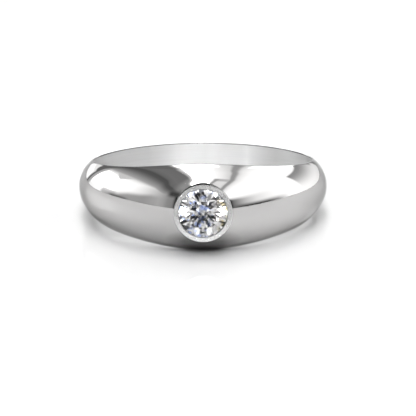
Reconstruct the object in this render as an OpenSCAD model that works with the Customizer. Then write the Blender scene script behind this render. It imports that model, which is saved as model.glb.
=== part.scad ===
// Bezel set ring: a polished domed band that tapers from a wide front to a
// narrow back, with a low round collar that holds one brilliant cut stone.
// The ring lies on its side, as it rests by itself, with its front at -Y.
// The origin is under the middle of its bounding box, on the surface below it.

/* [Finger hole] */
// Diameter of the finger hole
bore_d = 17.3; // [16:0.1:20]

/* [Band] */
// Width of the band at the front, along the finger
front_w = 6.5; // [6:0.1:8]
// Width of the band at the back, along the finger
back_w = 3.32; // [2.4:0.02:4.4]
// Thickness of the metal in the middle of the front
front_t = 2.26; // [2.2:0.02:2.3]
// Thickness of the metal in the middle of the back
back_t = 1.05; // [0.9:0.05:1.6]
// Thickness of the flat rim along both edges of the band
rim_t = 0.15; // [0.1:0.01:0.3]

/* [Setting] */
// Outer diameter of the collar around the stone
collar_d = 4.29; // [4.2:0.01:4.8]
// Height of the collar's flat top above the finger hole's wall
collar_h = 2.38; // [2.34:0.01:2.8]
// How far the collar's lip reaches over the stone's edge
lip = 0.065; // [0.04:0.005:0.1]
// Height of the lip's straight inner wall
lip_h = 0.1; // [0.05:0.01:0.2]
// Diameter of the light hole behind the stone
light_d = 1.6; // [1:0.1:2]

/* [Stone] */
// Diameter of the stone
stone_d = 3.7; // [3.5:0.05:3.8]
// Width of the table between opposite corners, as a share of the diameter
table_share = 0.56; // [0.5:0.01:0.65]
// Slope of the crown's main facets
crown_angle = 34.5; // [30:0.5:37]
// Slope of the pavilion's main facets
pavilion_angle = 40.8; // [39:0.1:42]
// Height of the stone's plain edge
girdle_h = 0.1; // [0.1:0.01:0.15]
// Gap between the stone and its seat
seat_gap = 0.03; // [0.02:0.01:0.05]

/* [Hidden] */

// The band's taper, with a row every 30 degrees from the front to the back:
// angle, share of the front's extra width, share of its extra thickness, and
// fullness of the dome, where a lower number is a fuller dome
TAPER = [
    [0, 1, 1, 0.66],
    [30, 0.76, 0.48, 0.72],
    [60, 0.45, 0.19, 0.85],
    [90, 0.16, 0.06, 0.91],
    [120, 0.01, 0, 0.91],
    [150, 0, 0, 0.91],
    [180, 0, 0, 0.91]
];
WIDTH = 1;
THICKNESS = 2;
FULLNESS = 3;

// Sections all round the band, and steps across its dome
SECTIONS = 96;
STEPS = 20;
// How far the blank reaches into the finger hole before it is bored
BLANK_DEPTH = 0.6;
// How far the collar's foot is sunk into the band below its top
FOOT_DEPTH = 1.4;
// How far a cut runs past what it cuts
PAST = 1;
// Sides of a round wall
ROUND = 96;

bore_r = bore_d / 2;
// The lowest points are the front's inner corner and the back's outer corner,
// so the difference in width tilts the resting ring
rest_tilt = atan2((front_w - back_w) / 2, bore_d + rim_t);
rest_h = front_w / 2 * cos(rest_tilt) - bore_r * sin(rest_tilt);

function total(list) = list * [for (item = list) 1];

// Strength of one cosine wave in a column of the taper
function wave(column, k, last = len(TAPER) - 1) =
    (k % last == 0 ? 1 : 2) / last * total([
        for (i = [0 : last]) (i % last == 0 ? 0.5 : 1) * TAPER[i][column] * cos(180 * i * k / last)
    ]);

WAVES = [for (column = [0 : FULLNESS]) [for (k = [0 : len(TAPER) - 1]) wave(column, k)]];

// A column of the taper at any angle, as a smooth curve through its rows
function taper(column, angle) =
    total([for (k = [0 : len(TAPER) - 1]) WAVES[column][k] * cos(k * angle)]);

function half_width(angle) = (back_w + (front_w - back_w) * taper(WIDTH, angle)) / 2;
function thickness(angle) = back_t + (front_t - back_t) * taper(THICKNESS, angle);

// Radius of the dome, where across runs from -1 at one edge to 1 at the other
function dome_r(angle, across) =
    bore_r + rim_t + (thickness(angle) - rim_t) * pow(1 - across * across, taper(FULLNESS, angle));

function ring_point(angle, radius, height) = [radius * sin(angle), -radius * cos(angle), height];

// Outline of the blank at one angle: up across the dome, then down inside
function section(angle) = concat(
    [for (i = [0 : STEPS])
        let (across = sin(180 * i / STEPS - 90))
        ring_point(angle, dome_r(angle, across), half_width(angle) * across)],
    [for (side = [1, -1])
        ring_point(angle, bore_r - BLANK_DEPTH, half_width(angle) * side)]
);

BAND_POINTS = [for (i = [0 : SECTIONS - 1]) each section(360 * i / SECTIONS)];
PER_SECTION = STEPS + 3;

// Two triangles for each cell between neighbouring sections
BAND_FACES = [
    for (i = [0 : SECTIONS - 1], j = [0 : PER_SECTION - 1])
        let (
            here = i * PER_SECTION,
            next = (i + 1) % SECTIONS * PER_SECTION,
            over = (j + 1) % PER_SECTION
        )
        each [[here + j, here + over, next + over], [here + j, next + over, next + j]]
];

// Radii in the setting, and heights outwards from the ring's axis
collar_r = collar_d / 2;
stone_r = stone_d / 2;
seat_r = stone_r + seat_gap;
lip_r = stone_r - lip;
light_r = light_d / 2;
collar_top = bore_r + collar_h;
crown_gap = seat_gap / cos(crown_angle);
pavilion_gap = seat_gap / cos(pavilion_angle);
girdle_top = collar_top - lip_h - lip * tan(crown_angle) - crown_gap;
girdle_low = girdle_top - girdle_h;

// Half of the hollow that the stone sits in, from the light hole outwards
SEAT_OUTLINE = [
    [0, 0],
    [light_r, 0],
    [light_r, girdle_low - (stone_r - light_r) * tan(pavilion_angle) - pavilion_gap],
    [seat_r, girdle_low + seat_gap * tan(pavilion_angle) - pavilion_gap],
    [seat_r, girdle_top - seat_gap * tan(crown_angle) + crown_gap],
    [lip_r, collar_top - lip_h],
    [lip_r, collar_top + PAST],
    [0, collar_top + PAST]
];

// The cut stone has eight main facets above and below its edge. Its facets
// run out to the trim radius, and a cylinder then trims them to a round edge
MAINS = 8;
HALVES = 2 * MAINS;
MAIN_STEP = 360 / MAINS;
TRIM_PAST = 0.01;
// How far the star facets reach from the table towards the edge
STAR_SHARE = 0.5;
// How far the lower halves reach from the edge towards the point
HALF_SHARE = 0.77;
trim_r = stone_r / cos(MAIN_STEP / 4) + TRIM_PAST;
table_r = stone_r * table_share;
table_flat_r = table_r * cos(MAIN_STEP / 2);
star_r = table_flat_r + (stone_r - table_flat_r) * STAR_SHARE;
half_r = stone_r * (1 - HALF_SHARE);

// Height of the main facets' planes at a distance out from the stone's axis
function crown_z(out) = girdle_top + (stone_r - out) * tan(crown_angle);
function pavilion_z(out) = girdle_low - (stone_r - out) * tan(pavilion_angle);

// A ring of equally spaced points
function tier(count, start, radius, height) =
    [for (i = [0 : count - 1])
        let (angle = start + 360 * i / count)
        [radius * cos(angle), radius * sin(angle), height]];

// The table has a flat edge at the bottom, so its first corner is half a step up
TURN = MAIN_STEP / 2;
STONE_POINTS = concat(
    tier(MAINS, TURN, table_r, crown_z(table_r)),
    tier(MAINS, TURN + MAIN_STEP / 2, star_r, crown_z(star_r * cos(MAIN_STEP / 2))),
    tier(HALVES, TURN, trim_r, crown_z(trim_r)),
    tier(HALVES, TURN, trim_r, pavilion_z(trim_r)),
    tier(MAINS, TURN + MAIN_STEP / 2, half_r, pavilion_z(half_r * cos(MAIN_STEP / 2))),
    [[0, 0, pavilion_z(0)]]
);
// The first point of each tier
STARS = MAINS;
UPPER = STARS + MAINS;
LOWER = UPPER + HALVES;
DEEP = LOWER + HALVES;
POINT = DEEP + MAINS;

function main_after(i) = (i + 1) % MAINS;
function main_before(i) = (i + MAINS - 1) % MAINS;
function half_after(i) = (i + 1) % HALVES;

// Each facet's corners run clockwise as it is seen from outside
STONE_FACES = concat(
    [[for (i = [MAINS - 1 : -1 : 0]) i]],
    [for (i = [0 : MAINS - 1]) each [
        [i, main_after(i), STARS + i],
        [i, STARS + i, UPPER + 2 * i, STARS + main_before(i)],
        [STARS + i, UPPER + 2 * i + 1, UPPER + 2 * i],
        [STARS + i, UPPER + half_after(2 * i + 1), UPPER + 2 * i + 1],
        [DEEP + i, LOWER + 2 * i, LOWER + 2 * i + 1],
        [DEEP + i, LOWER + 2 * i + 1, LOWER + half_after(2 * i + 1)],
        [POINT, DEEP + main_before(i), LOWER + 2 * i, DEEP + i]
    ]],
    [for (i = [0 : HALVES - 1])
        [UPPER + i, UPPER + half_after(i), LOWER + half_after(i), LOWER + i]]
);

// Where a point of the upright ring goes along Y when the ring is laid down
function laid_y(point) = point[1] * cos(rest_tilt) + point[2] * sin(rest_tilt);

// The table's lower edge and the back of the dome are the ends along Y
front_y = laid_y([0, -crown_z(table_r), -table_flat_r]);
back_y = max([for (point = section(180)) laid_y(point)]);

// Lays the upright ring on its side, centred over the origin
module laid_down() {
    translate([0, -(front_y + back_y) / 2, rest_h])
        rotate([-rest_tilt, 0, 0])
            children();
}

// Turns what is built along +Z to point out of the ring's front
module facing_front() {
    rotate([90, 0, 0])
        children();
}

module band_with_bezel() {
    color("silver")
        laid_down()
            difference() {
                union() {
                    polyhedron(BAND_POINTS, BAND_FACES);
                    facing_front()
                        translate([0, 0, collar_top - FOOT_DEPTH])
                            cylinder(r = collar_r, h = FOOT_DEPTH, $fn = ROUND);
                }
                cylinder(r = bore_r, h = front_w + 2 * PAST, center = true, $fn = ROUND);
                facing_front()
                    rotate_extrude($fn = ROUND)
                        polygon(SEAT_OUTLINE);
            }
}

module stone() {
    color("white")
        laid_down()
            facing_front()
                intersection() {
                    polyhedron(STONE_POINTS, STONE_FACES);
                    cylinder(r = stone_r, h = collar_top + PAST, $fn = ROUND);
                }
}

band_with_bezel();
stone();
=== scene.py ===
"""Looks of a bezel set ring that lies on its side, with its stone towards the camera.

The band and the collar are made again here, with a smooth dome, fine edges and white gold, and the
CAD stone gets a diamond material. Most of what the polished metal shows is the studio around it: a
white tent with darker shapes and brighter lamps, whose light is a formula of direction.
"""

import math
from collections import namedtuple

import bmesh
import bpy
import numpy as np
from mathutils import Matrix, Vector


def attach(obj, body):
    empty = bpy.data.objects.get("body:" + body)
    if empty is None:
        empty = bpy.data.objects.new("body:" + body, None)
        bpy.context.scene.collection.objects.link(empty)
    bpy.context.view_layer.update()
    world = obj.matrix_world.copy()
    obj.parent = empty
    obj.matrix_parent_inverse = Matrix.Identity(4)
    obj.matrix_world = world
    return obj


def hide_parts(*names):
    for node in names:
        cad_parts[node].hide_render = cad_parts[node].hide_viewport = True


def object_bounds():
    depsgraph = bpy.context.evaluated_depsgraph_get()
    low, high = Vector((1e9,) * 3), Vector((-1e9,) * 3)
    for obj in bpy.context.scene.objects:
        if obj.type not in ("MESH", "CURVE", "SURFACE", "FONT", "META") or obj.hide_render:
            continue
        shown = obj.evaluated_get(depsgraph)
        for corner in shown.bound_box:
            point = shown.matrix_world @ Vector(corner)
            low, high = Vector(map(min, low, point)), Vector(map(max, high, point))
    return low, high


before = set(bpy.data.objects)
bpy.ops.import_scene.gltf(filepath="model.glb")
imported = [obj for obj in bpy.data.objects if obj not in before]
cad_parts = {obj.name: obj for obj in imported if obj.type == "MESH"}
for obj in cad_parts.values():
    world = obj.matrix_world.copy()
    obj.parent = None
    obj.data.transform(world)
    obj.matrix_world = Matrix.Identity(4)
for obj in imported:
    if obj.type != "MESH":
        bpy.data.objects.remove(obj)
CAD_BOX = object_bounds()

MM = 0.001

# Driving sizes of the ring, as the CAD model has them
BORE_R = 8.65 * MM
FRONT_W = 6.5 * MM
BACK_W = 3.32 * MM
FRONT_T = 2.26 * MM
BACK_T = 1.05 * MM
RIM_T = 0.15 * MM
COLLAR_R = 4.29 / 2 * MM
COLLAR_TOP = BORE_R + 2.38 * MM
LIP = 0.065 * MM
LIP_H = 0.1 * MM
LIGHT_HOLE_R = 0.8 * MM
STONE_R = 3.7 / 2 * MM
TABLE_R = STONE_R * 0.56
CROWN_SLOPE = math.tan(math.radians(34.5))
PAVILION_SLOPE = math.tan(math.radians(40.8))
GIRDLE_H = 0.1 * MM
SEAT_GAP = 0.03 * MM
MAINS = 8

# The band's taper every 30 degrees from front to back: share of the extra
# width, share of the extra thickness, and fullness of the dome
TAPER = np.array(
    [
        [1, 1, 0.66],
        [0.76, 0.48, 0.72],
        [0.45, 0.19, 0.85],
        [0.16, 0.06, 0.91],
        [0.01, 0, 0.91],
        [0, 0, 0.91],
        [0, 0, 0.91],
    ]
)
WIDTH, THICKNESS, FULLNESS = range(3)

# How the ring rests: its wide front lifts its middle plane
REST_TILT = math.atan2((FRONT_W - BACK_W) / 2, 2 * BORE_R + RIM_T)
REST_H = FRONT_W / 2 * math.cos(REST_TILT) - BORE_R * math.sin(REST_TILT)

# Radii in the setting, and heights outwards from the ring's axis
SEAT_R = STONE_R + SEAT_GAP
LIP_R = STONE_R - LIP
CROWN_GAP = SEAT_GAP * math.hypot(1, CROWN_SLOPE)
PAVILION_GAP = SEAT_GAP * math.hypot(1, PAVILION_SLOPE)
GIRDLE_TOP = COLLAR_TOP - LIP_H - LIP * CROWN_SLOPE - CROWN_GAP
GIRDLE_LOW = GIRDLE_TOP - GIRDLE_H
TABLE_H = GIRDLE_TOP + (STONE_R - TABLE_R) * CROWN_SLOPE
TABLE_FLAT_R = TABLE_R * math.cos(math.pi / MAINS)

# The laid ring's middle: the table's lower edge is the front of the CAD model's box
FRONT_Y = -TABLE_H * math.cos(REST_TILT) - TABLE_FLAT_R * math.sin(REST_TILT)
MIDDLE = Vector((0, CAD_BOX[0][1] - FRONT_Y, REST_H))
LAID = Matrix.Translation(MIDDLE) @ Matrix.Rotation(-REST_TILT, 4, "X")
FACING = LAID @ Matrix.Rotation(math.pi / 2, 4, "X")

# The collar's foot is sunk into the band, and reaches a little below the floor of the hole cut for it
SETTING_FOOT = BORE_R + 0.45 * MM
FOOT_OVERLAP = 0.1 * MM
# How far the cutter of that hole runs past the collar's top, and the radius of its inner end
CUTTER_PAST = 1 * MM
NEAR_AXIS = 0.001 * MM

# Rounding of the collar's outer edge, of its lip, and of the band's edges
EDGE = 0.012 * MM
LIP_EDGE = 0.045 * MM
CRISP = 0.004 * MM
# Most that a rounding takes of the outline's sides next to it
CORNER_REACH = 0.45
# Height of the strip along both edges of the finger hole that is painted dark as shade
STRIP_H = 0.045 * MM

# Smoothness of the visual meshes
SECTIONS = 480
DOME_STEPS = 64
WALL_STEPS = 16
CORNER_STEPS = 5
TURNED_SIDES = 192
# Edges bent by more than this stay sharp, and a face is flat when it is square to an axis within this
SHARP_ANGLE = math.radians(10)
FLAT_ANGLE = math.radians(1)

# The band's UV map, in millimetres round the finger and along the outline
METAL_UV = "metal_mm"
# Painted shade close under the collar, which darkens the metal's colour: its middle, its reach, and its
# share of the metal's brightness
UNDER_COLLAR = (0, MIDDLE.y - 10.6 * MM, 0.85 * MM)
UNDER_COLLAR_SIZE = (3.2 * MM, 2.5 * MM, 1.35 * MM)
UNDER_COLLAR_LEVEL = 0.48
# Painted highlight on the finger hole's wall: how bright its colour is across the ring, by millimetres to
# the right
WALL_PAINTED_SHEEN = (
    (-8, 0.47),
    (-4.5, 0.48),
    (-2.2, 0.58),
    (-1, 0.48),
    (0.2, 0.45),
    (1.4, 0.51),
    (3.7, 0.8),
    (6, 0.49),
    (8, 0.44),
)
# How bright the shadowed metal is from the collar's bottom, at 0, to its top, at 1
SHADOW_RISE = (
    (0, 0.05),
    (0.15, 0.08),
    (0.4, 0.36),
    (0.75, 0.36),
    (0.88, 0.35),
    (0.955, 0.14),
    (0.985, 0.06),
)
# Where the shadowed metal gets brighter to the right, and by how much
SHADOW_RIGHT = (0.3 * MM, 1.5 * MM)
SHADOW_RIGHT_MORE = 0.4

# How diamond bends light, and how clear it is as light goes in and inside it
DIAMOND_IOR = 2.417
DIAMOND_CLEAR = 0.87
INSIDE_CLEAR = DIAMOND_CLEAR * 0.97
# The gleam on its outside is fainter than diamond's own, as if the stone bent light by only this
GLEAM_IOR = 1.3
# Painted flecks of fire, coloured tint that stands in for the stone's dispersed light: how fine they are,
# their colours on the left and right, and where these blend
FLECK_SCALE = 4200
COOL_FIRE = (0.5, 0.61, 1, 1)
WARM_FIRE = (1, 0.86, 0.5, 1)
FIRE_BLEND = (0.2 * MM, 1.6 * MM)

# The camera, as the photo's perspective has it
CAMERA_DISTANCE = 140 * MM
CAMERA_ELEVATION = 11.6 + math.degrees(REST_TILT)
CAMERA_ROLL = 0.22
PIXELS_PER_MM = 12.609
FRAME_PIXELS = 416
RING_PIXEL = (202.83, 183.31)
SENSOR_MM = 36

# The studio's tent, whose foot is just below the horizon, and the floor that runs a little past it
STUDIO_R = 1.0
TENT_SIDES = 1080
TENT_ROWS = 277
TENT_FOOT = -2
FLOOR_R = STUDIO_R * 1.02
FLOOR_SIDES = 96
# The floor's brightness, and the strength and blur of its gloss
FLOOR_PALE = 0.36
FLOOR_GLOSS = 0.08
FLOOR_BLUR = 0.05

# All brightness below is what the polished metal shows of the studio, as it mirrors this share of it
MIRRORED = 0.5
WHITE = 1.05
# Every line of sight counts as rising by at least this share, so that all of them meet the ceiling
LEAST_UP = 0.001

# A shape on the walls. Its level is a brightness, or a line of brightness by azimuth. It lies between
# two azimuths with equally soft ends. It fades in across the elevations of its foot, and out across
# those of its top. Where it has an edge, a line of elevation by azimuth, these are counted from it
Shape = namedtuple("Shape", "level az soft foot top edge", defaults=(None, None, None))
# A panel on the ceiling, at unit height: its brightness, where it begins and ends to the right and
# to the back, and how soft its sides are there
Panel = namedtuple("Panel", "level right back soft")

# The left wall's dark wedge: brightness by slope above the left horizon, as it is seen from the front
WEDGE = (
    (27, WHITE),
    (31, 0.9),
    (33, 0.74),
    (35, 0.5),
    (37, 0.34),
    (41, 0.25),
    (46, 0.14),
    (50, 0.085),
    (54, 0.075),
    (57, 0.13),
    (62, 0.155),
    (71, 0.14),
    (73, 0.4),
    (76, 0.9),
    (78, WHITE),
)
WEDGE_TOP = WEDGE[-1][0]
# In degrees of slope, how far the wedge's streak dips at its front end. The dip sets in across some
# azimuths, and is gone again across some slopes
WEDGE_DIP = 5
WEDGE_DIP_AZ = (-70, -52)
WEDGE_DIP_SLOPE = (50, 66)
# How far the wedge's upper edge bulges over the front, and is tucked in at the back. Both swell by how
# far to the front or back they are, the bulge ends farther to the front, and both need these slopes
WEDGE_BULGE = 4.5
WEDGE_BULGE_SWELLS = (-0.3, 0.35)
WEDGE_BULGE_ENDS = (0.35, 0.6)
WEDGE_TUCK = 1.5
WEDGE_TUCK_SWELLS = (0.4, 0.7)
WEDGE_EDGE_SLOPE = (64, 73)
# How much paler the wedge's front end gets across some azimuths, and where it stops low down, beside
# the camera
WEDGE_END_PALER = 0.12
WEDGE_END_AZ = (-50, -32)
WEDGE_STOP_AZ = (-33, -29)
WEDGE_STOP_EL = (38, 41)
# The wedge's back end is a grey area between slanting lines on the ceiling, left of a limit. Each
# line is a place on it and its slope, and has a soft edge
BACK_END_LEVEL = 0.56
BACK_END_FAR = ((-1.3, 0.93), 0.5)
BACK_END_FAR_SOFT = (-0.04, 0.04)
BACK_END_NEAR = ((-2.02, 0.58), -0.77)
BACK_END_NEAR_SOFT = (-0.05, 0.05)
BACK_END_RIGHT = -0.9

# The left wall's low front: its grey corner that gets paler upwards, a haze, the grey below that, a
# dark spot high on its end, and a smudge on the horizon
LEFT_CORNER = Shape(level=0.5, az=(-109, -94), soft=4, top=(6, 11))
LEFT_CORNER_PALER = 0.35
LEFT_CORNER_PALER_EL = (2, 10)
LEFT_HAZE = Shape(
    level=((-92, 1.05), (-85, 1), (-75, 0.8), (-65, 0.6), (-55, 0.42), (-45, 0.25), (-36, 0.2)),
    az=(-94, -32),
    soft=3,
    top=(38, 46),
)
LEFT_GREY = Shape(
    level=((-90, 0.33), (-70, 0.3), (-55, 0.38), (-45, 0.28), (-36, 0.26)),
    az=(-105, -32),
    soft=6,
    top=(-5, 5),
    edge=((-105, 0), (-95, 5), (-85, 11), (-75, 14), (-65, 18), (-45, 19), (-36, 16)),
)
LEFT_SPOT = Shape(level=0.045, az=(-47, -32), soft=8, foot=(19.5, 28.5), top=(30.5, 39.5))
LEFT_SMUDGE = Shape(level=0.1, az=(-99, -84), soft=6, top=(0, 5))

# The left wall's back end: dark above the arch up to some slopes, a grey end with a darker post under
# the arch's end, and a grey far corner
LEFT_ARCH = Shape(
    level=0.13,
    az=(-176, -137),
    soft=3,
    foot=(-1.5, 1.5),
    edge=((-175, 5), (-172, 7), (-165, 12), (-155, 17), (-149, 17), (-145, 13.3), (-142, 12)),
)
LEFT_ARCH_TOP = (71, 75)
LEFT_END = Shape(level=0.42, az=(-141, -132), soft=4, top=(24, 30))
LEFT_POST = Shape(level=0.14, az=(-140, -137), soft=1.5, top=(16, 22))
LEFT_FAR = Shape(level=0.5, az=(-177, -161), soft=3, top=(6, 12))

# The right wall's low back part, which gets paler downwards, a band on it from some elevations up, and
# its grey far corner
RIGHT_BACK_EDGE = ((104, 27), (145, 27), (155, 22.5), (165, 17), (170, 11), (175, 7))
RIGHT_BACK = Shape(level=0.26, az=(108, 176), soft=3, top=(-1, 1), edge=RIGHT_BACK_EDGE)
RIGHT_BACK_PALER_EL = (4, 26)
RIGHT_BAND = Shape(level=0.33, az=(152, 164), soft=6, top=(-1, 1), edge=RIGHT_BACK_EDGE)
RIGHT_BAND_EL = (7, 11)
RIGHT_FAR = Shape(level=0.26, az=(158, 176), soft=4, top=(7, 10))
# The right wall's low front: dark along the horizon, with a haze that sets in above it
RIGHT_HORIZON = (
    (40, 0.13),
    (45, 0.09),
    (50, 0.04),
    (57, 0.015),
    (67, 0.01),
    (75, 0.03),
    (83, 0.3),
    (92, 1.05),
)
RIGHT_HAZE = (
    (35, 0.13),
    (40, 0.19),
    (45, 0.3),
    (50, 0.43),
    (55, 0.55),
    (60, 0.66),
    (65, 0.77),
    (75, 0.92),
    (85, 1.05),
)
RIGHT_FRONT = Shape(level=RIGHT_HORIZON, az=(26, 95), soft=6, top=(15, 24))
RIGHT_HAZE_EL = (0, 9)

# The ceiling's seam: how far right it is by how far back, and the brightness by how far right of it
SEAM_PLACE = (
    (-0.7, 0.53),
    (-0.5, 0.55),
    (-0.3, 0.555),
    (-0.14, 0.51),
    (0.05, 0.47),
    (0.22, 0.41),
    (0.56, 0.36),
    (1.5, 0.3),
)
SEAM = (
    (-0.35, 1.05),
    (-0.2, 0.86),
    (-0.13, 0.76),
    (-0.06, 0.65),
    (-0.02, 0.3),
    (0.035, 0.3),
    (0.06, 0.4),
    (0.1, 0.7),
    (0.15, 0.84),
    (0.25, 0.97),
    (0.35, 1.05),
)
# The seam shows above this elevation
CEILING_EL = 12
# The grey patch at the seam's front end, its darker back edge, and the slanting leg on its left: the
# leg's middle as a place on it and its slope, and its breadth, length and softness
SEAM_PATCH = Panel(level=0.72, right=(-1, 0.52), back=(-0.8, -0.34), soft=(0.06, 0.06))
SEAM_PATCH_EDGE = Panel(level=0.46, right=(0.2, 0.53), back=(-0.42, -0.29), soft=(0.06, 0.06))
LEG_LEVEL = 0.33
LEG_MIDDLE = ((-0.36, 0.25), 0.35)
LEG_BREADTH = (-0.04, 0.04)
LEG_LENGTH = (-0.75, -0.31)
LEG_SOFT = (0.05, 0.06)

# A dark rail straight behind the ring, and the dark side where the camera stands. The side's top is
# lower by some degrees on its right, from some azimuths on
RAIL = Shape(level=0.03, az=(170, 190), soft=3, foot=(2, 4), top=(7.5, 9.5))
CAMERA_SIDE = Shape(level=0.008, az=(-37, 37), soft=5)
CAMERA_SIDE_TOP = (23, 28)
CAMERA_SIDE_LOWER = 8
CAMERA_SIDE_LOWER_AZ = (4, 9)

# Lamps: straight above, above the camera with a gap where the tent shows, behind, low on the left, and
# low at the left's back end
OVERHEAD_LAMP = Panel(level=5.5, right=(-0.24, 0.1), back=(-0.5, 0.5), soft=(0.06, 0.2))
CAMERA_LAMP = Shape(level=15, az=(-42, 30), soft=10, foot=(37, 43), top=(57, 63))
CAMERA_LAMP_GAP = Shape(level=WHITE, az=(-5, 5), soft=2, foot=(51, 53))
BACK_LAMP = Shape(level=4, az=(140, 200), soft=10, foot=(24, 32), top=(56, 64))
LEFT_LAMP = Shape(level=2.5, az=(-132, -96), soft=8, foot=(3, 9), top=(23, 29))
LOW_LAMP = Shape(level=1.45, az=(-164, -142), soft=5, top=(7.5, 10.5))
# Darker shapes hide a lamp: it doesn't show where they bring the tent below the first of these, and
# shows fully from the second on
LAMP_SHOWS = (0.8, 1)
# The low line of light in the camera's side: its brightness, its elevation in the middle, how far and
# by which azimuths its ends curve up, where it fades out on both sides, and its breadth and softness
LINE_LEVEL = 1.5
LINE_EL = 2.5
LINE_CURVE = 4
LINE_CURVE_AZ = (6, 15)
LINE_ENDS = (15.5, 16.5)
LINE_BREADTH = (-0.8, 0.8)
LINE_SOFT = 0.7


def cosine_waves(values):
    """Strengths of the cosine waves that pass through evenly spaced values from front to back."""
    last = len(values) - 1
    weights = np.ones(last + 1)
    weights[[0, last]] = 0.5
    steps = np.arange(last + 1)
    waves = [2 / last * (weights * values * np.cos(np.pi * steps * k / last)).sum() for k in steps]
    waves[0] /= 2
    waves[last] /= 2
    return waves


WAVES = [cosine_waves(TAPER[:, column]) for column in (WIDTH, THICKNESS, FULLNESS)]


def taper(column, angle):
    """A column of the taper at an angle from the front, in radians."""
    return sum(wave * math.cos(k * angle) for k, wave in enumerate(WAVES[column]))


def rounded(points, corners):
    """An outline with some corners rounded, where corners maps a point's number to its rounding."""
    outline = []
    for i, point in enumerate(points):
        corner = Vector(point)
        if i not in corners:
            outline.append(corner)
            continue
        before = Vector(points[i - 1]) - corner
        after = Vector(points[(i + 1) % len(points)]) - corner
        start = corner + before.normalized() * min(corners[i], before.length * CORNER_REACH)
        end = corner + after.normalized() * min(corners[i], after.length * CORNER_REACH)
        for k in range(CORNER_STEPS + 1):
            t = k / CORNER_STEPS
            outline.append(start * (1 - t) ** 2 + corner * 2 * t * (1 - t) + end * t**2)
    return outline


def mesh_object(name, points, faces, uvs=None):
    """An object from points and faces, with a UV pair for each face corner where they are given."""
    mesh = bpy.data.meshes.new(name)
    mesh.from_pydata([tuple(p) for p in points], [], faces)
    if uvs is not None:
        layer = mesh.uv_layers.new(name=METAL_UV)
        layer.data.foreach_set("uv", np.array(uvs, dtype=np.float32).ravel())
    made = bpy.data.objects.new(name, mesh)
    bpy.context.scene.collection.objects.link(made)
    return made


def swept(rows):
    """Faces that join closed rows of points all round, and each face's row and place in it."""
    count, length = len(rows), len(rows[0])
    faces, cells = [], []
    for i in range(count):
        for j in range(length):
            over, up = (i + 1) % count, (j + 1) % length
            faces.append((i * length + j, i * length + up, over * length + up, over * length + j))
            cells.append((i, j))
    return faces, cells


def finish_metal(piece, materials, chosen):
    """Gives a piece its materials, with the one chosen for each face, and turns its faces outward."""
    for material in materials:
        piece.data.materials.append(material)
    numbers = [materials.index(material) for material in chosen]
    piece.data.polygons.foreach_set("material_index", np.array(numbers, dtype=np.int32))
    sides = bmesh.new()
    sides.from_mesh(piece.data)
    bmesh.ops.recalc_face_normals(sides, faces=sides.faces)
    sides.to_mesh(piece.data)
    sides.free()


def band_outline(angle):
    """Radius and height of the band's outline at an angle: up across the dome, then down the wall."""
    half_width = (BACK_W + (FRONT_W - BACK_W) * taper(WIDTH, angle)) / 2
    dome = BACK_T + (FRONT_T - BACK_T) * taper(THICKNESS, angle) - RIM_T
    fullness = taper(FULLNESS, angle)
    outline = []
    for k in range(DOME_STEPS + 1):
        across = math.sin(math.pi * (k / DOME_STEPS - 0.5))
        outline.append((BORE_R + RIM_T + dome * (1 - across * across) ** fullness, half_width * across))
    outline.append((BORE_R, half_width))
    for k in range(WALL_STEPS + 1):
        outline.append((BORE_R, (half_width - STRIP_H) * (1 - 2 * k / WALL_STEPS)))
    outline.append((BORE_R, -half_width))
    return rounded(outline, {i: CRISP for i in (0, DOME_STEPS, DOME_STEPS + 1, len(outline) - 1)})


def make_band(polished, brushed, painted_shade_and_sheen):
    """The band: a smooth dome, a brushed wall inside with a painted highlight, and a strip of painted
    shade along both edges of the wall.
    """
    rows, lengths = [], []
    for i in range(SECTIONS):
        angle = 2 * math.pi * i / SECTIONS
        outline = band_outline(angle)
        steps = [0.0]
        for before, after in zip(outline, outline[1:] + outline[:1]):
            steps.append(steps[-1] + (after - before).length)
        right, back = math.sin(angle), -math.cos(angle)
        rows.append([LAID @ Vector((p[0] * right, p[0] * back, p[1])) for p in outline])
        lengths.append(steps)
    faces, cells = swept(rows)
    arc = 2 * math.pi * BORE_R / SECTIONS
    uvs = []
    for i, j in cells:
        here, there = lengths[i], lengths[(i + 1) % SECTIONS]
        uvs += [(i * arc / MM, here[j] / MM), (i * arc / MM, here[j + 1] / MM)]
        uvs += [((i + 1) * arc / MM, there[j + 1] / MM), ((i + 1) * arc / MM, there[j] / MM)]
    made = mesh_object("band", [p for row in rows for p in row], faces, uvs)
    # The outline has three roundings before the upper strip
    upper_strip = DOME_STEPS + 3 * CORNER_STEPS + 1
    lower_strip = upper_strip + WALL_STEPS + 1
    finishes = {j: brushed for j in range(upper_strip + 1, lower_strip)}
    # Painted shade on the strips along both edges of the wall
    finishes |= {upper_strip: painted_shade_and_sheen, lower_strip: painted_shade_and_sheen}
    finish_metal(made, [polished, brushed, painted_shade_and_sheen], [finishes.get(j, polished) for _, j in cells])
    return made


def turned(name, outline):
    """An object turned round the setting's axis from a closed outline of radius and height."""
    rows = []
    for i in range(TURNED_SIDES):
        angle = 2 * math.pi * i / TURNED_SIDES
        right, up = math.cos(angle), math.sin(angle)
        rows.append([FACING @ Vector((p[0] * right, p[0] * up, p[1])) for p in outline])
    faces, cells = swept(rows)
    return mesh_object(name, [p for row in rows for p in row], faces), cells


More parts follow.
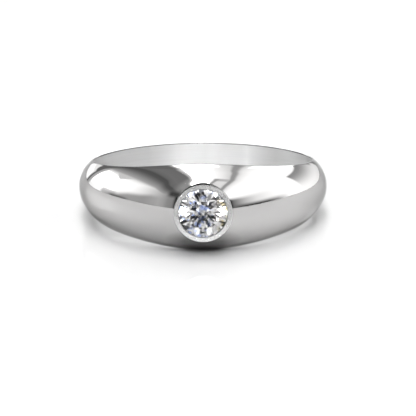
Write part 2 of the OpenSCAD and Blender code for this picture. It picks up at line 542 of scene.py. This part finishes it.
def make_collar(polished, satin, shadowed, painted_shade_and_sheen):
    """The collar, with a rounded lip round the stone, a satin flat top and a shadowed side."""
    outline = [
        (LIGHT_HOLE_R, SETTING_FOOT),
        (LIGHT_HOLE_R, GIRDLE_LOW - (STONE_R - LIGHT_HOLE_R) * PAVILION_SLOPE - PAVILION_GAP),
        (SEAT_R, GIRDLE_LOW + SEAT_GAP * PAVILION_SLOPE - PAVILION_GAP),
        (SEAT_R, GIRDLE_TOP - SEAT_GAP * CROWN_SLOPE + CROWN_GAP),
        (LIP_R, COLLAR_TOP - LIP_H),
        (LIP_R, COLLAR_TOP),
        (COLLAR_R, COLLAR_TOP),
        (COLLAR_R, SETTING_FOOT),
    ]
    # Numbers of the outline's two corners that are rounded
    lip, outer = 5, 6
    made, cells = turned("bezel_collar", rounded(outline, {lip: LIP_EDGE, outer: EDGE}))
    flat_top = lip + CORNER_STEPS
    side = flat_top + CORNER_STEPS + 1
    # Painted shade on the lip's inner wall, round the lip and on the collar's side, and a painted
    # highlight on the flat top
    finishes = {lip - 1: shadowed, flat_top: satin}
    finishes |= {j: painted_shade_and_sheen for j in range(lip, flat_top)}
    finishes |= {j: shadowed for j in range(flat_top + 1, side + 1)}
    chosen = [finishes.get(j, polished) for _, j in cells]
    finish_metal(made, [polished, satin, shadowed, painted_shade_and_sheen], chosen)
    return made


def cut_setting(band, polished):
    """Opens the band for the collar and for the light hole behind the stone."""
    hole_r = (SEAT_R + COLLAR_R) / 2
    floor = SETTING_FOOT + FOOT_OVERLAP
    past = COLLAR_TOP + CUTTER_PAST
    outline = [
        (NEAR_AXIS, 0),
        (LIGHT_HOLE_R, 0),
        (LIGHT_HOLE_R, floor),
        (hole_r, floor),
        (hole_r, past),
        (NEAR_AXIS, past),
    ]
    cutter, cells = turned("cutter", outline)
    finish_metal(cutter, [polished], [polished] * len(cells))
    cut = band.modifiers.new("setting", "BOOLEAN")
    cut.operation = "DIFFERENCE"
    cut.solver = "EXACT"
    cut.object = cutter
    bpy.context.view_layer.update()
    opened = bpy.data.meshes.new_from_object(band.evaluated_get(bpy.context.evaluated_depsgraph_get()))
    band.modifiers.clear()
    band.data = opened
    bpy.data.objects.remove(cutter)


def smooth(piece, axis):
    """Smooth shading, sharp where the metal bends and round the faces that are square to an axis."""
    piece.data.shade_smooth()
    piece.data.set_sharp_from_angle(angle=SHARP_ANGLE)
    square = math.cos(FLAT_ANGLE)
    sides = bmesh.new()
    sides.from_mesh(piece.data)
    for side in sides.edges:
        flat = [abs(face.normal.dot(axis)) > square for face in side.link_faces]
        if any(flat) and not all(flat):
            side.smooth = False
    sides.to_mesh(piece.data)
    sides.free()


def add(tree, kind, inputs=None, **settings):
    """A node with its settings made and its inputs linked or set."""
    node = tree.nodes.new(kind)
    for name, value in settings.items():
        setattr(node, name, value)
    for name, value in (inputs or {}).items():
        if isinstance(value, bpy.types.NodeSocket):
            tree.links.new(value, node.inputs[name])
        else:
            node.inputs[name].default_value = value
    return node


def grey(level):
    """A grey colour of a brightness."""
    return (level, level, level, 1)


def gradient(tree, factor, stops):
    """A number or colour that runs through its stops: pairs of a factor and a value."""
    scale = add(tree, "ShaderNodeValToRGB", {"Fac": factor})
    while len(scale.color_ramp.elements) < len(stops):
        scale.color_ramp.elements.new(1)
    for stop, (place, value) in zip(scale.color_ramp.elements, stops):
        stop.position = place
        stop.color = (*value, 1) if isinstance(value, tuple) else grey(value)
    return scale.outputs["Color"]


def ramp(tree, factor, low, high, span=(0.3, 0.7)):
    """A number or colour that runs from low to high as the factor crosses the span."""
    return gradient(tree, factor, ((span[0], low), (span[1], high)))


def share_between(tree, value, low, high, end=1):
    """A number that runs from 0 to its end as the value goes from low to high."""
    return add(tree, "ShaderNodeMapRange", {"Value": value, 1: low, 2: high, 3: 0, 4: end}).outputs[0]


def total(tree, first, second):
    """Two numbers added."""
    return add(tree, "ShaderNodeMath", {0: first, 1: second}, operation="ADD").outputs[0]


def noise(tree, place, scale, detail, roughness=0.5):
    """A cloudy number from 0 to 1, where the scale counts its clouds along each unit of place."""
    inputs = {"Vector": place, "Scale": scale, "Detail": detail, "Roughness": roughness}
    return add(tree, "ShaderNodeTexNoise", inputs).outputs["Fac"]


def squeezed(tree, place, scale):
    """A place multiplied by a scale along each axis."""
    return add(tree, "ShaderNodeMapping", {"Vector": place, "Scale": scale}).outputs[0]


def bump(tree, height, strength, distance):
    """A surface direction that leans with the slopes of a height."""
    inputs = {"Height": height, "Strength": strength, "Distance": distance}
    return add(tree, "ShaderNodeBump", inputs).outputs[0]


def object_place(tree):
    """The place on the object, in metres."""
    return add(tree, "ShaderNodeTexCoord").outputs["Object"]


def part_of(tree, place, axis):
    """A place's distance along one axis."""
    return add(tree, "ShaderNodeSeparateXYZ", {"Vector": place}).outputs[axis]


def up_the_collar(tree, place):
    """How high a place is on the collar, from 0 at the collar's bottom to 1 at its top."""
    middle = MIDDLE.z + COLLAR_TOP * math.sin(REST_TILT)
    return share_between(tree, part_of(tree, place, "Z"), middle - COLLAR_R, middle + COLLAR_R)


def new_material(name):
    """A material with an empty node tree."""
    material = bpy.data.materials.new(name)
    material.use_nodes = True
    material.node_tree.nodes.clear()
    return material, material.node_tree


def finish_material(tree, shader):
    """Shows a shader as the material's surface."""
    add(tree, "ShaderNodeOutputMaterial", {"Surface": shader.outputs[0]})


def finish_as_metal(tree, inputs):
    """Shows metal with these inputs as the material's surface."""
    finish_material(tree, add(tree, "ShaderNodeBsdfPrincipled", {"Metallic": 1} | inputs))


def polished_gold():
    """Mirror polished white gold with the faintest haze and hairlines, and painted shade that darkens its
    colour close under the collar.
    """
    material, tree = new_material("white_gold_polished")
    place = object_place(tree)
    cloud = noise(tree, place, scale=260, detail=3)
    hairs = noise(tree, squeezed(tree, place, (900, 900, 16000)), scale=1, detail=4)
    # Painted shade: the colour is darkened in an ellipsoid close under the collar
    ellipsoid = {"Vector": place, "Location": UNDER_COLLAR, "Scale": UNDER_COLLAR_SIZE}
    under = add(tree, "ShaderNodeMapping", ellipsoid, vector_type="TEXTURE").outputs[0]
    painted_shade = add(tree, "ShaderNodeTexGradient", {"Vector": under}, gradient_type="SPHERICAL")
    dimming = gradient(tree, painted_shade.outputs["Fac"], ((0, 1), (0.5, UNDER_COLLAR_LEVEL)))
    base = ramp(tree, cloud, (0.495, 0.49, 0.487), (0.515, 0.51, 0.507))
    dimmed = add(tree, "ShaderNodeVectorMath", {0: base, 3: dimming}, operation="SCALE").outputs[0]
    finish_as_metal(
        tree,
        {
            "Base Color": dimmed,
            "Specular Tint": grey(0.55),
            "Roughness": ramp(tree, cloud, 0.025, 0.045),
            "Normal": bump(tree, hairs, 0.01, 0.01 * MM),
        },
    )
    return material


def brushed_gold():
    """Satin white gold inside the ring, brushed round the finger, with a painted highlight in its colour
    across the ring.
    """
    material, tree = new_material("white_gold_brushed")
    around = add(tree, "ShaderNodeUVMap", uv_map=METAL_UV).outputs[0]
    fine = noise(tree, squeezed(tree, around, (0.35, 26, 1)), scale=1, detail=5, roughness=0.65)
    broad = noise(tree, squeezed(tree, around, (0.12, 5, 1)), scale=1, detail=3)
    # Painted highlight: the wall's colour is brighter in places across the ring
    across = share_between(tree, part_of(tree, object_place(tree), "X"), -BORE_R, BORE_R)
    painted_shade_and_sheen = gradient(tree, across, [((x * MM + BORE_R) / (2 * BORE_R), level) for x, level in WALL_PAINTED_SHEEN])
    tangent = add(tree, "ShaderNodeTangent", direction_type="UV_MAP", uv_map=METAL_UV)
    finish_as_metal(
        tree,
        {
            "Base Color": total(tree, ramp(tree, broad, -0.03, 0.03), painted_shade_and_sheen),
            "Roughness": ramp(tree, fine, 0.54, 0.62),
            "Anisotropic": 0.65,
            "Anisotropic Rotation": 0.25,
            "Normal": bump(tree, fine, 0.35, 0.02 * MM),
            "Tangent": tangent.outputs[0],
        },
    )
    return material


def satin_gold():
    """Satin white gold with a fine grain, on the collar's flat top, with a painted highlight that makes
    it brightest at its bottom.
    """
    material, tree = new_material("white_gold_satin")
    place = object_place(tree)
    grain = noise(tree, place, scale=14000, detail=3, roughness=0.6)
    # Painted highlight: the flat top's colour is brighter towards its bottom
    painted_highlight = ramp(tree, up_the_collar(tree, place), 0.82, 0.52, (0.05, 0.5))
    grains = {"Factor": grain, 2: -0.04, 3: 0.04}
    speckle = add(tree, "ShaderNodeMix", grains, data_type="FLOAT").outputs[0]
    finish_as_metal(
        tree,
        {
            "Base Color": total(tree, painted_highlight, speckle),
            "Roughness": ramp(tree, grain, 0.24, 0.34),
            "Normal": bump(tree, grain, 0.5, 0.02 * MM),
        },
    )
    return material


def painted_edge_shade_gold():
    """White gold painted dark along the edges of the finger hole and round the lip: painted shade."""
    material, tree = new_material("white_gold_painted_edge_shade")
    # Painted shade: a dark colour for the dark outline along these edges
    cloud = noise(tree, object_place(tree), scale=900, detail=3)
    finish_as_metal(
        tree,
        {
            "Base Color": ramp(tree, cloud, 0.09, 0.15),
            "Specular Tint": grey(0.3),
            "Roughness": ramp(tree, cloud, 0.3, 0.4),
        },
    )
    return material


def shadowed_gold():
    """White gold painted dark as shade on the lip's inner wall and the collar's side: painted shade by
    height, lighter to the right.
    """
    material, tree = new_material("white_gold_shadowed")
    place = object_place(tree)
    cloud = noise(tree, place, scale=1500, detail=3)
    # Painted shade by height on the collar, and painted light towards the right
    painted_shade = gradient(tree, up_the_collar(tree, place), SHADOW_RISE)
    right = share_between(tree, part_of(tree, place, "X"), *SHADOW_RIGHT, SHADOW_RIGHT_MORE)
    finish_as_metal(
        tree,
        {
            "Base Color": total(tree, ramp(tree, cloud, -0.015, 0.015), total(tree, painted_shade, right)),
            "Specular Tint": grey(0.2),
            "Roughness": ramp(tree, cloud, 0.28, 0.36),
        },
    )
    return material


def mixed_colour(tree, share, first, second):
    """A colour that runs from the first to the second with the share."""
    inputs = {"Factor": share, 6: first, 7: second}
    return add(tree, "ShaderNodeMix", inputs, data_type="RGBA").outputs[2]


def mixed_shader(tree, share, first, second):
    """A shader that runs from the first to the second with the share."""
    return add(tree, "ShaderNodeMixShader", {0: share, 1: first.outputs[0], 2: second.outputs[0]})


def cut_diamond():
    """Clear diamond, which light goes in and out of, with painted flecks of fire in its tint and a faint
    outer gleam.
    """
    material, tree = new_material("diamond_clear")
    place = object_place(tree)
    # Painted fire: coloured cells in the tint of the light going in, cool on the left and warm on the
    # right
    cell = add(tree, "ShaderNodeTexVoronoi", {"Vector": place, "Scale": FLECK_SCALE}).outputs["Color"]
    chance = add(tree, "ShaderNodeSeparateColor", {"Color": cell}).outputs["Red"]
    side = share_between(tree, part_of(tree, place, "X"), *FIRE_BLEND)
    fire = mixed_colour(tree, side, COOL_FIRE, WARM_FIRE)
    tint = mixed_colour(tree, ramp(tree, chance, 0.0, 1.0, (0.6, 0.85)), grey(DIAMOND_CLEAR), fire)
    entry = add(tree, "ShaderNodeBsdfRefraction", {"Color": tint, "Roughness": 0, "IOR": DIAMOND_IOR})
    gleam = add(tree, "ShaderNodeBsdfGlossy", {"Color": grey(1), "Roughness": 0})
    gleam_share = add(tree, "ShaderNodeFresnel", {"IOR": GLEAM_IOR}).outputs[0]
    outer = mixed_shader(tree, gleam_share, entry, gleam)
    clear = {"Color": grey(INSIDE_CLEAR), "Roughness": 0, "IOR": DIAMOND_IOR}
    inner = add(tree, "ShaderNodeBsdfGlass", clear)
    inside = add(tree, "ShaderNodeNewGeometry").outputs["Backfacing"]
    finish_material(tree, mixed_shader(tree, inside, outer, inner))
    return material


def along(points, value):
    """What a line through points says at a value: each point is a value and what the line says there."""
    return np.interp(value, *zip(*points))


def off_line(line, x, y):
    """How far y is above a slanting line at x."""
    (start_x, start_y), slope = line
    return y - (start_y + slope * (x - start_x))


def rise(value, low, high):
    """0 below low, 1 above high, and a smooth rise between them."""
    t = np.clip((value - low) / (high - low), 0, 1)
    return t * t * (3 - 2 * t)


def fall(value, low, high):
    """1 below low, 0 above high, and a smooth fall between them."""
    return 1 - rise(value, low, high)


def between(value, low, high, soft):
    """1 between low and high and 0 beyond them, with both ends as soft as this."""
    return rise(value, low - soft / 2, low + soft / 2) * fall(value, high - soft / 2, high + soft / 2)


def direction(az, el):
    """How far right, back and up a line of sight goes, by its azimuth and elevation in degrees."""
    azimuth, elevation = np.radians(az), np.radians(el)
    level = np.cos(elevation)
    return np.sin(azimuth) * level, -np.cos(azimuth) * level, np.sin(elevation)


class Sky:
    """The studio's light over a grid of directions: a white tent, with shapes laid on it in turn.

    Directions are in degrees. An azimuth, az, is 0 at the camera's side, 90 at its right and 180
    straight behind. An elevation, el, is above the floor.
    """

    def __init__(self, az, el):
        right, back, up = direction(az, el)
        height = np.maximum(up, LEAST_UP)
        self.az = az
        self.el = el
        # Where each line of sight meets a ceiling at unit height
        self.right = right / height
        self.back = back / height
        # Its slope above the left horizon, as it is seen from the front
        self.slope = np.degrees(np.arctan2(up, -right))
        self.light = np.full(az.shape, WHITE)

    def darken(self, level, share):
        """Brings the light down to a level, and leaves alone what is darker still."""
        self.light = self.light + (np.minimum(self.light, level) - self.light) * share

    def brighten(self, level, share):
        """Brings the light up to a level, except where darker shapes hide it."""
        self.light = self.light + (level - self.light) * share * rise(self.light, *LAMP_SHOWS)

    def cover(self, shape):
        """How much of each direction a shape covers. One that ends past 180 degrees lies across there."""
        az = self.az % 360 if shape.az[1] > 180 else self.az
        el = self.el - along(shape.edge, self.az) if shape.edge else self.el
        cover = between(az, *shape.az, shape.soft)
        if shape.foot:
            cover = cover * rise(el, *shape.foot)
        if shape.top:
            cover = cover * fall(el, *shape.top)
        return cover

    def panel(self, panel):
        """How much of each direction a panel on the ceiling covers."""
        soft_right, soft_back = panel.soft
        return between(self.right, *panel.right, soft_right) * between(self.back, *panel.back, soft_back)

    def shade(self, shape, share=1, paler=0):
        """Lays on a darker shape, or a share of it, or one that is paler by this."""
        level = along(shape.level, self.az) if isinstance(shape.level, tuple) else shape.level
        self.darken(level + paler, self.cover(shape) * share)

    def lamp(self, shape, share=1):
        """Lays on a lamp, or a share of it."""
        self.brighten(shape.level, self.cover(shape) * share)


def shade_wedge(sky):
    """The left wall's dark wedge, with its grey back end."""
    front = -sky.back
    dip = WEDGE_DIP * rise(sky.az, *WEDGE_DIP_AZ) * fall(sky.slope, *WEDGE_DIP_SLOPE)
    bulge = WEDGE_BULGE * rise(front, *WEDGE_BULGE_SWELLS) * fall(front, *WEDGE_BULGE_ENDS)
    tuck = WEDGE_TUCK * rise(sky.back, *WEDGE_TUCK_SWELLS)
    dipped = sky.slope + dip - (bulge - tuck) * rise(sky.slope, *WEDGE_EDGE_SLOPE)
    stopped = rise(sky.az, *WEDGE_STOP_AZ) * fall(sky.el, *WEDGE_STOP_EL)
    inside = (sky.right < 0) * (dipped < WEDGE_TOP) * (1 - stopped)
    sky.darken(along(WEDGE, dipped) + WEDGE_END_PALER * rise(sky.az, *WEDGE_END_AZ), inside)
    past_near = rise(off_line(BACK_END_NEAR, sky.right, sky.back), *BACK_END_NEAR_SOFT)
    before_far = fall(off_line(BACK_END_FAR, sky.right, sky.back), *BACK_END_FAR_SOFT)
    sky.darken(BACK_END_LEVEL, past_near * before_far * (sky.right < BACK_END_RIGHT))


def shade_left_wall(sky):
    """The left wall's low front and its back end."""
    sky.shade(LEFT_CORNER, paler=LEFT_CORNER_PALER * rise(sky.el, *LEFT_CORNER_PALER_EL))
    for shape in (LEFT_HAZE, LEFT_GREY, LEFT_SPOT, LEFT_SMUDGE):
        sky.shade(shape)
    sky.shade(LEFT_ARCH, share=fall(sky.slope, *LEFT_ARCH_TOP))
    for shape in (LEFT_END, LEFT_POST, LEFT_FAR):
        sky.shade(shape)


def shade_right_wall(sky):
    """The right wall's low back part and its low front."""
    sky.shade(RIGHT_BACK, paler=(WHITE - RIGHT_BACK.level) * fall(sky.el, *RIGHT_BACK_PALER_EL))
    sky.shade(RIGHT_BAND, share=rise(sky.el, *RIGHT_BAND_EL))
    sky.shade(RIGHT_FAR)
    hazier = along(RIGHT_HAZE, sky.az) - along(RIGHT_HORIZON, sky.az)
    sky.shade(RIGHT_FRONT, paler=hazier * rise(sky.el, *RIGHT_HAZE_EL))


def shade_ceiling(sky):
    """The ceiling's seam, with the patch and the leg at its front end."""
    beside = sky.right - along(SEAM_PLACE, sky.back)
    sky.darken(along(SEAM, beside), sky.el > CEILING_EL)
    off_leg = off_line(LEG_MIDDLE, sky.back, sky.right)
    sky.darken(SEAM_PATCH.level, (off_leg > 0) * sky.panel(SEAM_PATCH))
    sky.darken(SEAM_PATCH_EDGE.level, sky.panel(SEAM_PATCH_EDGE))
    soft_side, soft_end = LEG_SOFT
    leg = between(off_leg, *LEG_BREADTH, soft_side) * between(sky.back, *LEG_LENGTH, soft_end)
    sky.darken(LEG_LEVEL, leg)


def add_lamps(sky):
    """The lamps, and the low line of light in the camera's dark side, which the stone mirrors."""
    sky.brighten(OVERHEAD_LAMP.level, sky.panel(OVERHEAD_LAMP))
    sky.lamp(CAMERA_LAMP, share=1 - sky.cover(CAMERA_LAMP_GAP))
    for lamp in (BACK_LAMP, LEFT_LAMP, LOW_LAMP):
        sky.lamp(lamp)
    sideways = np.abs(sky.az)
    above_line = sky.el - LINE_EL - LINE_CURVE * rise(sideways, *LINE_CURVE_AZ)
    line = fall(sideways, *LINE_ENDS) * between(above_line, *LINE_BREADTH, LINE_SOFT)
    sky.light = sky.light + (LINE_LEVEL - sky.light) * line


def direction_light(az, el):
    """How strongly the tent shines from each azimuth and elevation."""
    sky = Sky(az, el)
    shade_wedge(sky)
    shade_left_wall(sky)
    shade_right_wall(sky)
    shade_ceiling(sky)
    sky.shade(RAIL)
    lowered = sky.el + CAMERA_SIDE_LOWER * rise(sky.az, *CAMERA_SIDE_LOWER_AZ)
    sky.shade(CAMERA_SIDE, share=fall(lowered, *CAMERA_SIDE_TOP))
    add_lamps(sky)
    return sky.light / MIRRORED


def make_tent():
    """The studio's tent, a dome over the floor that shines by direction."""
    az = np.arange(TENT_SIDES) * 360 / TENT_SIDES - 180
    el = np.linspace(TENT_FOOT, 90, TENT_ROWS)
    az_grid, el_grid = np.meshgrid(az, el)
    points = STUDIO_R * np.stack(direction(az_grid, el_grid), axis=-1)
    faces = []
    for i in range(TENT_ROWS - 1):
        here, above = i * TENT_SIDES, (i + 1) * TENT_SIDES
        for j in range(TENT_SIDES):
            over = (j + 1) % TENT_SIDES
            faces.append((here + j, here + over, above + over, above + j))
    tent = mesh_object("studio_tent", points.reshape(-1, 3), faces)
    light = tent.data.attributes.new("light", "FLOAT", "POINT")
    light.data.foreach_set("value", direction_light(az_grid, el_grid).ravel().astype(np.float32))
    material, tree = new_material("studio_light")
    level = add(tree, "ShaderNodeAttribute", attribute_name="light").outputs["Fac"]
    finish_material(tree, add(tree, "ShaderNodeEmission", {"Strength": level}))
    material.cycles.emission_sampling = "NONE"
    tent.data.materials.append(material)


def make_floor():
    """A pale plain floor with a slight gloss."""
    turns = [2 * math.pi * k / FLOOR_SIDES for k in range(FLOOR_SIDES)]
    rim = [(FLOOR_R * math.cos(turn), FLOOR_R * math.sin(turn), 0) for turn in turns]
    floor = mesh_object("floor", rim, [tuple(range(FLOOR_SIDES))])
    material, tree = new_material("pale_floor")
    matt = add(tree, "ShaderNodeBsdfDiffuse", {"Color": grey(FLOOR_PALE)})
    gloss = add(tree, "ShaderNodeBsdfGlossy", {"Color": grey(1), "Roughness": FLOOR_BLUR})
    finish_material(tree, mixed_shader(tree, FLOOR_GLOSS, matt, gloss))
    floor.data.materials.append(material)


def make_camera():
    """The camera looks down on the ring from the front, with the ring's middle on its own pixel."""
    lens_pixels = PIXELS_PER_MM * CAMERA_DISTANCE / MM
    down = math.degrees(math.atan((FRAME_PIXELS / 2 - RING_PIXEL[1]) / lens_pixels))
    right = math.degrees(math.atan((FRAME_PIXELS / 2 - RING_PIXEL[0]) / lens_pixels))
    data = bpy.data.cameras.new("camera")
    data.sensor_width = SENSOR_MM
    data.lens = lens_pixels / FRAME_PIXELS * SENSOR_MM
    data.clip_start = 1 * MM
    data.clip_end = 3 * STUDIO_R
    camera = bpy.data.objects.new("camera", data)
    bpy.context.scene.collection.objects.link(camera)
    pitch = math.radians(CAMERA_ELEVATION)
    place = MIDDLE + CAMERA_DISTANCE * Vector((0, -math.cos(pitch), math.sin(pitch)))
    camera.matrix_world = (
        Matrix.Translation(place)
        @ Matrix.Rotation(math.radians(-right), 4, "Z")
        @ Matrix.Rotation(math.radians(90 - CAMERA_ELEVATION - down), 4, "X")
        @ Matrix.Rotation(math.radians(-CAMERA_ROLL), 4, "Z")
    )
    bpy.context.scene.camera = camera


def set_scene():
    """A white world, plain colours, and enough bounces for light to find its way through the stone."""
    world = bpy.data.worlds.new("world")
    world.use_nodes = True
    background = world.node_tree.nodes["Background"]
    background.inputs["Color"].default_value = grey(1)
    background.inputs["Strength"].default_value = 1
    scene = bpy.context.scene
    scene.world = world
    scene.view_settings.view_transform = "Standard"
    scene.cycles.max_bounces = 24
    scene.cycles.glossy_bounces = 16
    scene.cycles.transmission_bounces = 20
    # The metal throws its light on the floor, and no bright path is cut short
    scene.cycles.caustics_reflective = True
    scene.cycles.sample_clamp_indirect = 0


make_camera()
polished = polished_gold()
painted_shade_and_sheen = painted_edge_shade_gold()
band = make_band(polished, brushed_gold(), painted_shade_and_sheen)
cut_setting(band, polished)
collar = make_collar(polished, satin_gold(), shadowed_gold(), painted_shade_and_sheen)
for piece, placed in ((band, LAID), (collar, FACING)):
    smooth(piece, placed.to_3x3() @ Vector((0, 0, 1)))
    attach(piece, "root")
    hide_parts("band_with_bezel")

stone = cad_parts["stone"]
stone.data.materials.clear()
stone.data.materials.append(cut_diamond())

make_tent()
make_floor()
set_scene()
